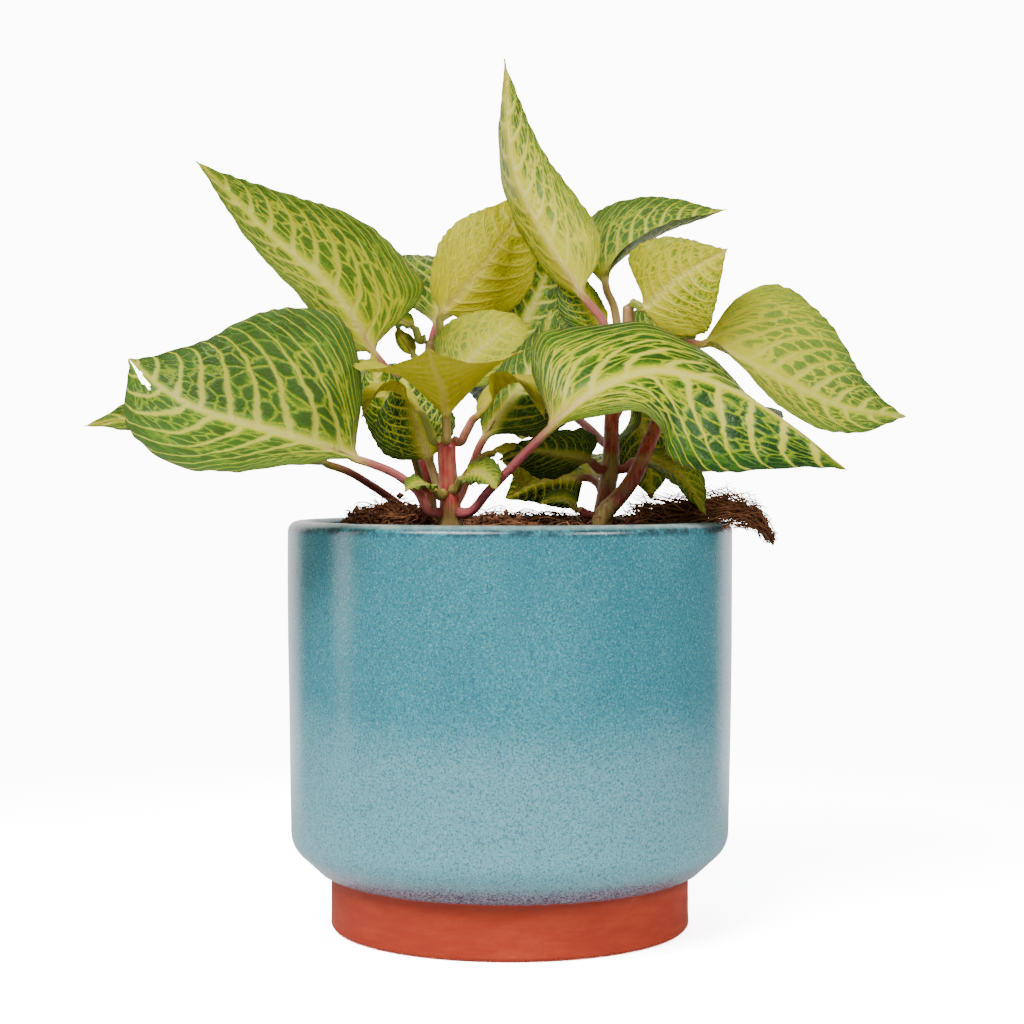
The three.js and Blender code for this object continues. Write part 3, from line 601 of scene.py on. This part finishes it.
def build_stem(node, material, bark=0.0):
    rings, first, last = rings_of(node)
    if first[2] > last[2]:
        rings, first, last = rings[::-1], last, first
    middle = rings.mean(1)
    width = np.linalg.norm(rings - middle[:, None], axis=2).mean(1)
    path = np.vstack([first, middle[1:-1], last])
    width[0], width[-1] = width[1], width[-2]
    reach = np.concatenate([[0], np.cumsum(np.linalg.norm(np.diff(path, axis=0), axis=1))])
    where = np.linspace(0, reach[-1], STEM_STATIONS)
    centre, radius = spline(reach, path, where), spline(reach, width, where)
    trend = np.polyval(np.polyfit(where, radius, 1), where)
    joint = smooth(0.02, 0.12, radius / trend - 1)
    ahead = unit(np.gradient(centre, axis=0))
    side = unit(np.cross(np.array([0, 1, 0]), ahead))
    back = np.cross(ahead, side)
    turn = np.linspace(0, 2 * np.pi, STEM_SIDES, endpoint=False)
    ribs = 1 + 0.035 * np.cos(6 * turn[None] + 9 * where[:, None]) * (1 - joint)[:, None]
    scar = 1 - 0.05 * smooth(0.85, 1.0, joint)[:, None] * np.cos(where[:, None] * 2600)
    end = smooth(reach[-1], reach[-1] - 0.0015, where)[:, None] ** 0.5
    full = radius[:, None] * ribs * scar * np.maximum(end, 0.02)
    grid = centre[:, None] + side[:, None] * (full * np.cos(turn))[..., None]
    grid = grid + back[:, None] * (full * np.sin(turn))[..., None]
    points = list(grid.reshape(-1, 3))
    faces = []
    for i in range(STEM_STATIONS - 1):
        for k in range(STEM_SIDES):
            a, b = i * STEM_SIDES + k, i * STEM_SIDES + (k + 1) % STEM_SIDES
            faces.append((a, b, b + STEM_SIDES, a + STEM_SIDES))
    faces.append(tuple(reversed(range(STEM_SIDES))))
    faces.append(tuple(range(len(points) - STEM_SIDES, len(points))))
    stem = make_mesh(node.replace("stem_", "stalk_"), points, faces, material)
    add_attribute(stem, "joint", np.repeat(joint, STEM_SIDES))
    add_attribute(stem, "bark", np.full(len(points), bark))
    stands_for(stem, "stem", node)


# ------------------------------------------------------------------------------------ glazed pot
POT_TURNS = 220
FOOT_TOP = 17 * MM


def arc(r, z, radius, start, stop, steps):
    angles = np.radians(np.linspace(start, stop, steps))
    return [(r + radius * math.cos(a), z + radius * math.sin(a)) for a in angles]


def pot_profile():
    """Radius and height from the centre of the underside, up the outside, over the rim and down inside."""
    low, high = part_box("glazed_pot")
    rim = (high[0] - low[0]) / 2
    top = high[2]
    wall = 5.5 * MM
    foot = 56.6 * MM
    body = rim - 0.9 * MM
    outline = [(0, 0.6 * MM), (foot - 9 * MM, 0.6 * MM), (foot - 8 * MM, 0)]
    outline += arc(foot - 1.6 * MM, 1.6 * MM, 1.6 * MM, -90, 0, 6)
    outline += [(foot - 0.1 * MM, z * MM) for z in (5, 9, 13)]
    outline += [(foot - 0.2 * MM, FOOT_TOP - 0.6 * MM), (foot + 0.4 * MM, FOOT_TOP - 0.1 * MM)]
    outline += [(foot + 1.4 * MM, FOOT_TOP + 0.2 * MM), (foot + 3.6 * MM, FOOT_TOP + 1.3 * MM)]
    outline += arc(body - 9 * MM, FOOT_TOP + 13.5 * MM, 9 * MM, -52, 0, 12)
    outline += [(body + 0.9 * MM * t, (30 + 60 * t) * MM) for t in (0.12, 0.3, 0.5, 0.75, 1)]
    outline += [(rim, z * MM) for z in (96, 102, 108, 113, 117, 120, 122.5)]
    outline += arc(rim - 3.4 * MM, top - 3.4 * MM, 3.4 * MM, 0, 90, 12)
    outline += arc(rim - wall + 2.0 * MM, top - 2.0 * MM, 2.0 * MM, 90, 180, 7)
    outline += [(rim - wall, z * MM) for z in (120, 105, 80, 50)]
    outline += [(rim - wall - 3 * MM, 26 * MM), (rim - wall - 14 * MM, 12.5 * MM), (0, 12 * MM)]
    return outline


def pot_material():
    n = Nodes("speckled_glaze")
    place = n.place()
    x, y, z = n.split(place)
    wide = n.noise(n.stretch(place, (1, 1, 0.8)), 22.0, 4.0, 0.6)
    drift = n.noise(n.stretch(place, (1, 1, 0.45)), 60.0, 3.0, 0.6)
    level = n.add(n.add(z, n.mul(n.sub(wide, 0.5), 0.03)), n.mul(n.sub(drift, 0.5), 0.014))
    upper = n.ramp(level, 0.055, 0.078)
    dark = n.ramp(level, 0.085, 0.128)
    glaze = n.mix(upper, (0.15, 0.4, 0.48), (0.04, 0.25, 0.31))
    glaze = n.mix(n.mul(dark, 0.6), glaze, (0.022, 0.185, 0.23))
    glaze = n.mix(n.ramp(wide, 0.35, 0.7, 0.0, 0.35), glaze, (0.12, 0.42, 0.48))

    grain = n.noise(place, 1700.0, 3.0, 0.75)
    grain_dark = n.ramp(grain, 0.5, 0.38, 0.0, 0.85)
    grain_pale = n.ramp(grain, 0.53, 0.68, 0.0, 0.7)
    glaze = n.mix(grain_dark, glaze, (0.02, 0.15, 0.2))
    glaze = n.mix(n.mul(grain_pale, n.ramp(upper, 0.0, 1.0, 1.0, 0.65)), glaze, (0.3, 0.56, 0.62))
    spots = n.ramp(n.cells(place, 760.0), 0.2, 0.1, 0.0, 0.8)
    glaze = n.mix(n.mul(spots, 0.5), glaze, (0.42, 0.6, 0.6))
    pits = n.ramp(n.cells(n.stretch(place, (1.13, 0.93, 1.07)), 520.0), 0.13, 0.06, 0.0, 0.8)
    glaze = n.mix(pits, glaze, (0.012, 0.06, 0.09))

    under_rim = n.mul(n.ramp(z, 0.1238, 0.1256), n.ramp(z, 0.1274, 0.1265))
    rim_break = n.ramp(n.noise(place, 260.0, 4.0, 0.7), 0.35, 0.6)
    glaze = n.mix(n.mul(n.mul(under_rim, rim_break), 0.8), glaze, (0.02, 0.03, 0.035))
    # The top of the lip is painted paler: partly pale glaze where it breaks thin over the edge, partly a painted
    # highlight where the rim faces the lamps above.
    lip_glaze_and_highlight = n.ramp(z, 0.1263, 0.1275)
    glaze = n.mix(lip_glaze_and_highlight, glaze, n.mix(rim_break, (0.32, 0.42, 0.4), (0.16, 0.3, 0.3)))
    low_edge = n.ramp(n.add(z, n.mul(n.sub(drift, 0.5), 0.004)), 0.0245, 0.0195)
    thin = n.mix(n.ramp(grain, 0.42, 0.6), (0.03, 0.045, 0.09), (0.3, 0.34, 0.42))
    glaze = n.mix(n.mul(low_edge, 0.85), glaze, thin)

    scuff = n.noise(n.stretch(place, (60, 60, 260)), 1.0, 5.0, 0.65)
    clay = n.mix(n.ramp(scuff, 0.35, 0.7), (0.4, 0.026, 0.003), (0.48, 0.045, 0.007))
    clay = n.mix(n.ramp(n.noise(place, 900.0, 3.0, 0.7), 0.45, 0.7, 0.0, 0.35), clay, (0.3, 0.035, 0.012))
    # The top of the foot, under the overhang of the glazed body, is darkened: painted shade.
    clay = n.mix(n.ramp(z, 0.012, 0.0172, 0.0, 0.55), clay, (0.22, 0.03, 0.015))
    clay = n.mix(n.ramp(scuff, 0.66, 0.8, 0.0, 0.4), clay, (0.75, 0.2, 0.1))
    hem = n.add(z, n.mul(n.sub(n.noise(place, 300.0, 3.0), 0.5), 0.0012))
    bare = n.ramp(hem, FOOT_TOP + 0.0002, FOOT_TOP - 0.0003)
    surface = n.mix(bare, glaze, clay)

    swell = n.bump(wide, 0.0006, 0.25)
    swell = n.bump(n.noise(place, 240.0, 2.0), 0.00012, 0.35, swell)
    gritty = n.bump(n.noise(place, 1500.0, 4.0, 0.8), 0.0002, 0.22, swell)
    n.set(Base_Color=surface, Normal=gritty)
    rough_glaze = n.ramp(grain, 0.3, 0.7, 0.1, 0.2)
    n.set(Roughness=n.add(n.mul(n.sub(1.0, bare), rough_glaze), n.mul(bare, 0.78)))
    n.set(Specular_IOR_Level=0.5)
    return n.material


def build_pot():
    outline = pot_profile()
    points, faces = [], []
    for r, z in outline:
        for k in range(POT_TURNS):
            turn = 2 * math.pi * k / POT_TURNS
            drift = noise.noise(Vector((math.cos(turn) * 1.3, math.sin(turn) * 1.3, z * 22)))
            out = max(r, 1e-5) + (0.00022 * drift if r > 0.03 else 0)
            points.append((out * math.cos(turn), out * math.sin(turn), z))
    for i in range(len(outline) - 1):
        for k in range(POT_TURNS):
            a, b = i * POT_TURNS + k, i * POT_TURNS + (k + 1) % POT_TURNS
            faces.append((a, b, b + POT_TURNS, a + POT_TURNS))
    faces.append(tuple(reversed(range(POT_TURNS))))
    faces.append(tuple(range(len(points) - POT_TURNS, len(points))))
    pot = make_mesh("pot_glazed_clay", points, faces, pot_material())
    stands_for(pot, "glaze", "glazed_pot")


def plastic_material():
    n = Nodes("nursery_plastic")
    place = n.place()
    grain = n.noise(place, 1400.0, 3.0, 0.6)
    dust = n.noise(place, 90.0, 4.0, 0.6)
    n.set(Base_Color=n.mix(n.ramp(dust, 0.4, 0.75, 0.0, 0.6), (0.012, 0.012, 0.013), (0.06, 0.045, 0.035)))
    n.set(Roughness=n.ramp(grain, 0.2, 0.8, 0.45, 0.7), Normal=n.bump(grain, 0.0001, 0.5))
    return n.material


# ------------------------------------------------------------------------------------ soil and fibre
SOIL_RINGS = 80
SOIL_TURNS = 190


def soil_top():
    """The height of the CAD soil's top by place, from its own points, as a function."""
    co = np.array([v.co for v in frame["nodes"]["soil"].data.vertices])
    level = co[co[:, 2] > 0.1195]

    def height(x, y):
        away = np.hypot(level[:, 0] - x, level[:, 1] - y)
        weight = 1 / (away + 0.002) ** 3
        return float(np.sum(level[:, 2] * weight) / np.sum(weight))

    return height


def soil_material():
    n = Nodes("dark_peat")
    place = n.place()
    lumps = n.noise(place, 260.0, 6.0, 0.7)
    crumbs = n.cells(place, 700.0)
    soil = n.mix(n.ramp(lumps, 0.35, 0.7), (0.012, 0.007, 0.004), (0.075, 0.038, 0.02))
    soil = n.mix(n.ramp(crumbs, 0.5, 0.15, 0.0, 0.5), soil, (0.11, 0.055, 0.028))
    normal = n.bump(lumps, 0.0015, 0.9)
    normal = n.bump(crumbs, 0.0006, 0.8, normal)
    n.set(Base_Color=soil, Normal=normal, Roughness=0.95, Specular_IOR_Level=0.15)
    return n.material


def build_soil(material, height):
    low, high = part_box("soil")
    middle_x, middle_y = (low[0] + high[0]) / 2, (low[1] + high[1]) / 2
    radius = (high[0] - low[0]) / 2 - 0.0003
    points, faces = [], []
    for i in range(SOIL_RINGS + 1):
        out = radius * max(i / SOIL_RINGS, 0.002)
        for k in range(SOIL_TURNS):
            turn = 2 * math.pi * k / SOIL_TURNS
            x, y = middle_x + out * math.cos(turn), middle_y + out * math.sin(turn)
            rough = noise.fractal(Vector((x, y, 0.3)) * 190, 0.8, 2.1, 5)
            clod = abs(noise.noise(Vector((x, y, 1.7)) * 95))
            z = height(x, y) + 0.0011 * rough + 0.002 * clod - 0.0008
            points.append((x, y, min(z, high[2])))
    rim = len(points)
    for k in range(SOIL_TURNS):
        turn = 2 * math.pi * k / SOIL_TURNS
        points.append((middle_x + 0.8 * radius * math.cos(turn), middle_y + 0.8 * radius * math.sin(turn), low[2]))
    for i in range(SOIL_RINGS):
        for k in range(SOIL_TURNS):
            a, b = i * SOIL_TURNS + k, i * SOIL_TURNS + (k + 1) % SOIL_TURNS
            faces.append((a, a + SOIL_TURNS, b + SOIL_TURNS, b))
    for k in range(SOIL_TURNS):
        a, b = rim - SOIL_TURNS + k, rim - SOIL_TURNS + (k + 1) % SOIL_TURNS
        faces.append((a, rim + k, rim + (k + 1) % SOIL_TURNS, b))
    faces.append(tuple(reversed(range(rim, rim + SOIL_TURNS))))
    faces.append(tuple(range(SOIL_TURNS)))
    stands_for(make_mesh("soil_peat", points, faces, material), "soil", "soil")


def add_lump(points, faces, centre, size, draw):
    """A small rough eight-sided crumb."""
    start = len(points)
    corners = [(1, 0, 0), (0, 1, 0), (-1, 0, 0), (0, -1, 0), (0, 0, 1), (0, 0, -1)]
    for x, y, z in corners:
        grow = size * draw.uniform(0.6, 1.3)
        tilt = [draw.uniform(-0.35, 0.35) for _ in range(3)]
        points.append(tuple(c + grow * (a + b) for c, a, b in zip(centre, (x, y, z), tilt)))
    for a, b in ((0, 1), (1, 2), (2, 3), (3, 0)):
        faces.append((start + a, start + b, start + 4))
        faces.append((start + b, start + a, start + 5))


def build_crumbs(material, height, name, count, small, large, seed):
    draw = random.Random(seed)
    low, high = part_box("soil")
    middle, radius = (low[0] + high[0]) / 2, (high[0] - low[0]) / 2 - 0.003
    points, faces = [], []
    for _ in range(count):
        out, turn = radius * math.sqrt(draw.random()), draw.uniform(0, 2 * math.pi)
        x, y = middle + out * math.cos(turn), out * math.sin(turn)
        size = draw.uniform(small, large)
        add_lump(points, faces, (x, y, height(x, y) + size * 0.4 + 0.0008), size, draw)
    crumbs = make_mesh(name, points, faces, material, False)
    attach(crumbs, "root")


def perlite_material():
    n = Nodes("white_perlite")
    grain = n.noise(n.place(), 1500.0, 3.0, 0.7)
    n.set(Base_Color=n.mix(grain, (0.5, 0.46, 0.4), (0.85, 0.83, 0.78)), Normal=n.bump(grain, 0.0003, 0.8))
    n.set(Roughness=0.9)
    return n.material


def fibre_material():
    n = Nodes("coconut_fibre")
    place = n.place()
    tone = n.attribute("tone")
    light = n.mix(tone, (0.07, 0.022, 0.009), (0.46, 0.18, 0.07))
    stain = n.noise(place, 240.0, 3.0, 0.6)
    n.set(Base_Color=n.mix(n.ramp(stain, 0.35, 0.75, 0.0, 0.5), light, (0.2, 0.07, 0.03)))
    n.set(Normal=n.bump(n.noise(place, 3000.0, 2.0), 0.0001, 0.5), Roughness=0.75)
    n.set(Specular_IOR_Level=0.3)
    return n.material


def add_fibre(points, faces, tones, path, radius, tone):
    """A thin three-sided tube along the path, pointed at both ends."""
    start = len(points)
    for i, place in enumerate(path):
        ahead = (path[min(i + 1, len(path) - 1)] - path[max(i - 1, 0)]).normalized()
        side = ahead.cross(Vector((0.3, 0.2, 1))).normalized()
        back = ahead.cross(side)
        thin = radius * (0.25 if i in (0, len(path) - 1) else 1)
        for k in range(3):
            turn = 2 * math.pi * k / 3
            points.append(tuple(place + side * (thin * math.cos(turn)) + back * (thin * math.sin(turn))))
            tones.append(tone)
    for i in range(len(path) - 1):
        for k in range(3):
            a, b = start + 3 * i + k, start + 3 * i + (k + 1) % 3
            faces.append((a, b, b + 3, a + 3))
    faces.append((start + 2, start + 1, start))
    last = start + 3 * (len(path) - 1)
    faces.append((last, last + 1, last + 2))


def clump_fibres(node, material, count, spread, seed, curl=1.0):
    """Fibres that run and curl along a CAD clump, standing out of it a little here and there."""
    rings, first, last = rings_of(node, 10)
    middle = rings.mean(1)
    width = np.linalg.norm(rings - middle[:, None], axis=2).mean(1)
    draw = random.Random(seed)
    points, faces, tones = [], [], []
    stations = len(middle) - 1
    for _ in range(count):
        at = draw.uniform(0, stations)
        run = draw.uniform(0.15, 0.55) * stations * draw.choice((-1, 1))
        turn, twist = draw.uniform(0, 6.3), draw.uniform(-3, 3) * curl
        depth = draw.uniform(0.15, 0.95)
        wander = [draw.uniform(-1, 1) for _ in range(3)]
        path = []
        steps = 9
        for i in range(steps):
            t = i / (steps - 1)
            here = min(max(at + run * t, 0), stations - 0.001)
            k, share = int(here), here - int(here)
            centre = Vector(middle[k] * (1 - share) + middle[k + 1] * share)
            size = width[k] * (1 - share) + width[k + 1] * share
            angle = turn + twist * t
            out = Vector((math.sin(angle) * 0.7, math.cos(angle), math.sin(angle + 1.2)))
            stray = spread * t * t * Vector(wander)
            centre += out.normalized() * size * depth + stray * size
            centre += Vector(noise.noise_vector(centre * 260)) * 0.0007
            path.append(centre)
        add_fibre(points, faces, tones, path, draw.uniform(0.00009, 0.00022), draw.random() ** 1.5)
    return points, faces, tones


CRUMBS_PER_SIZE = 2600
SOIL_LINE = 0.13  # above this a clump is bare fibre, with no soil in it


def build_clump(node, material, count, spread, seed, curl=1.0):
    points, faces, tones = clump_fibres(node, material, count, spread, seed, curl)
    low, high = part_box(node)
    draw = random.Random(seed + 50)
    rings, _, _ = rings_of(node, 10)
    for ring in rings[1:-1]:
        centre = ring.mean(0)
        size = np.linalg.norm(ring - centre, axis=1).mean()
        for _ in range(int(CRUMBS_PER_SIZE * size * (centre[2] < SOIL_LINE))):
            place = [c + draw.gauss(0, 0.4) * size for c in centre]
            before = len(points)
            add_lump(points, faces, place, draw.uniform(0.0006, 0.0015), draw)
            tones.extend([draw.uniform(0, 0.25)] * (len(points) - before))
    clump = make_mesh(node.replace("coir_", "fibre_mat_"), points, faces, material)
    add_attribute(clump, "tone", tones)
    stands_for(clump, "coir", node)


def build_loose_fibres(material, height):
    draw = random.Random(77)
    points, faces, tones = [], [], []
    for _ in range(420):
        turn, out = draw.uniform(0, 2 * math.pi), 0.056 * math.sqrt(draw.random())
        x, y = 0.0034 + out * math.cos(turn), out * math.sin(turn)
        heading, bend = draw.uniform(0, 6.3), draw.uniform(-1.6, 1.6)
        length, arch = draw.uniform(0.006, 0.022), draw.uniform(0.0005, 0.0045)
        path = []
        for i in range(9):
            t = i / 8
            direction = heading + bend * t
            here_x, here_y = x + length * t * math.cos(direction), y + length * t * math.sin(direction)
            rise = arch * math.sin(math.pi * t) + 0.0012
            path.append(Vector((here_x, here_y, height(here_x, here_y) + rise)))
        if math.hypot(path[-1].x - 0.0034, path[-1].y) < 0.0565:
            add_fibre(points, faces, tones, path, draw.uniform(0.00008, 0.0002), draw.random() ** 1.5)
    fibres = make_mesh("fibre_loose", points, faces, material)
    add_attribute(fibres, "tone", tones)
    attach(fibres, "root")


# ------------------------------------------------------------------------------------ floor and light
WHITE = 12.0  # bright enough to show as plain white
FLOOR_WHITE = 14.0


def seen_by_camera(tree):
    return tree.nodes.new("ShaderNodeLightPath").outputs["Is Camera Ray"]


def build_floor():
    """A plain white floor round the pot, that fades into the white behind it."""
    n = Nodes("studio_floor")
    x, y, _ = n.split(n.place())
    away = n.math("SQRT", n.add(n.mul(x, x), n.mul(y, y)))
    n.set(Base_Color=(0.8, 0.8, 0.8, 1), Roughness=0.9, Specular_IOR_Level=0.0)
    bright = n.tree.nodes.new("ShaderNodeBsdfDiffuse")
    bright.inputs["Color"].default_value = (FLOOR_WHITE, FLOOR_WHITE, FLOOR_WHITE, 1)
    clear = n.tree.nodes.new("ShaderNodeBsdfTransparent")
    for name, first, second, share in (
        ("camera", n.shader.outputs[0], bright.outputs[0], seen_by_camera(n.tree)),
        ("edge", None, clear.outputs[0], n.ramp(away, 0.2, 0.42)),
    ):
        blend = n.tree.nodes.new("ShaderNodeMixShader")
        blend.name = name
        n.put(blend.inputs[0], share)
        n.put(blend.inputs[1], first or n.tree.nodes["camera"].outputs[0])
        n.put(blend.inputs[2], second)
    n.put(n.tree.nodes["Material Output"].inputs["Surface"], blend.outputs[0])
    size = 0.5
    points = [(-size, -size, 0), (size, -size, 0), (size, size, 0), (-size, size, 0)]
    floor = make_mesh("studio_floor", points, [(0, 1, 2, 3)], n.material, False)
    floor.location.z = -0.0003


def add_light(name, place, aim, size, power):
    data = bpy.data.lights.new(name, "AREA")
    data.shape = "RECTANGLE"
    data.size, data.size_y = size
    data.energy = power
    light = bpy.data.objects.new(name, data)
    light.location = place
    light.visible_camera = False
    light.rotation_euler = (Vector(aim) - Vector(place)).to_track_quat("-Z", "Y").to_euler()
    bpy.context.collection.objects.link(light)


def build_light():
    world = bpy.data.worlds.new("studio")
    world.use_nodes = True
    tree = world.node_tree
    backdrop = tree.nodes["Background"]
    backdrop.inputs[0].default_value = (1, 1, 1, 1)
    strength = tree.nodes.new("ShaderNodeMapRange")
    tree.links.new(seen_by_camera(tree), strength.inputs[0])
    strength.inputs["To Min"].default_value = 0.26
    strength.inputs["To Max"].default_value = WHITE
    tree.links.new(strength.outputs[0], backdrop.inputs[1])
    bpy.context.scene.world = world
    middle = (0, 0, 0.13)
    add_light("white_wall", (0, 1.1, 0.35), middle, (2.3, 1.5), 16)
    add_light("softbox_key", (-0.5, -0.75, 0.95), middle, (0.8, 0.35), 19)
    add_light("softbox_fill", (0.75, -0.7, 0.75), middle, (0.4, 0.3), 8)
    add_light("strip_left", (-1.2, 0.02, 0.3), middle, (0.06, 0.7), 2)


build_light()
build_floor()
build_pot()
frame["nodes"]["grow_pot"].data.materials.clear()
frame["nodes"]["grow_pot"].data.materials.append(plastic_material())
HEIGHT = soil_top()
PEAT = soil_material()
build_soil(PEAT, HEIGHT)
build_crumbs(PEAT, HEIGHT, "soil_crumbs", 1500, 0.0005, 0.0017, 5)
build_crumbs(perlite_material(), HEIGHT, "soil_perlite", 90, 0.0006, 0.0013, 6)
FIBRE = fibre_material()
build_clump("coir_left", FIBRE, 820, 0.9, 11, 1.6)
build_clump("coir_middle", FIBRE, 170, 0.5, 12)
build_clump("coir_right", FIBRE, 1100, 1.9, 13)
build_loose_fibres(FIBRE, HEIGHT)
STEM = stem_material()
for name in sorted(name for name in frame["nodes"] if name.startswith("stem_")):
    build_stem(name, STEM, 1.0 if name == "stem_stub" else 0.0)
LEAF_MATERIAL = leaf_material()
for number, node in enumerate(sorted(name for name in frame["nodes"] if name.startswith("leaf_"))):
    build_leaf(node, LEAF_MATERIAL, seed=number + 1, **LEAF_LOOKS.get(node, {}))
